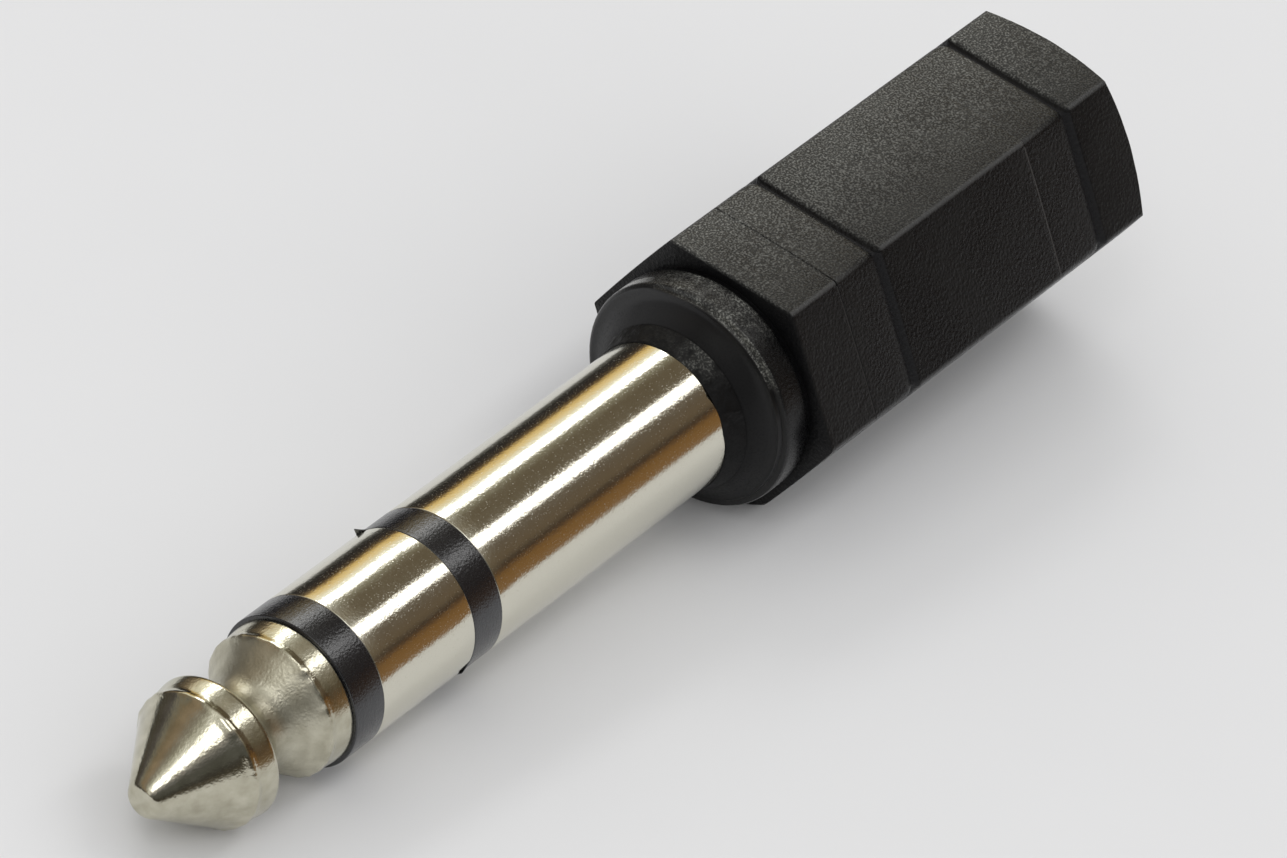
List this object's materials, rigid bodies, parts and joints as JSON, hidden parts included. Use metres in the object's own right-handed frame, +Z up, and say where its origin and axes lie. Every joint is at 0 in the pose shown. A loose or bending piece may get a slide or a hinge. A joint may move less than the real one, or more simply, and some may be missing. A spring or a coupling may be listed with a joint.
{
  "type": "audio jack adapter",
  "caption": "Adapter with a stepped round plug, pointed tip and two insulating rings in front, and a hexagonal grip with two grooves whose rear end holds a small round socket.",
  "frame": {"origin": "centre of the bounding box's bottom, on the surface the adapter lies on: the crest of the tip and the grip's lower front edge touch z = 0", "axes": "+X runs from the plug's tip to the socket, level with the surface; the adapter's own axis rises 4.24 degrees towards the socket; +Z is up, away from the surface; +Y is sideways, across two corners of the hexagon"},
  "size_m": [0.0546, 0.0118, 0.0117],
  "materials": {
    "nickel": "polished nickel plating",
    "tip_nickel": "satin turned nickel plating",
    "ring_plastic": "semi-gloss black",
    "grip_plastic": "fine grained black",
    "socket_plastic": "plain black",
    "washer_board": "plain",
    "tag_brass": "stamped",
    "spring_metal": "plated strip",
    "link_wire": "bare wire"
  },
  "bodies": {
    "root": {"tip_contact": "tip_nickel", "tip_insulator": "ring_plastic", "ring_contact": "nickel", "ring_insulator": "ring_plastic", "sleeve_contact": "nickel", "sleeve_tag": "tag_brass", "sleeve_washer": "washer_board", "ring_tag": "tag_brass", "ring_washer": "washer_board", "tip_tag": "tag_brass", "socket_body": "socket_plastic", "socket_bush": "nickel", "socket_tag": "tag_brass", "tip_spring": "spring_metal", "ring_spring": "spring_metal", "tip_link": "link_wire", "ring_link": "link_wire", "sleeve_link": "link_wire", "grip_body": "grip_plastic"}
  },
  "joints": []
}
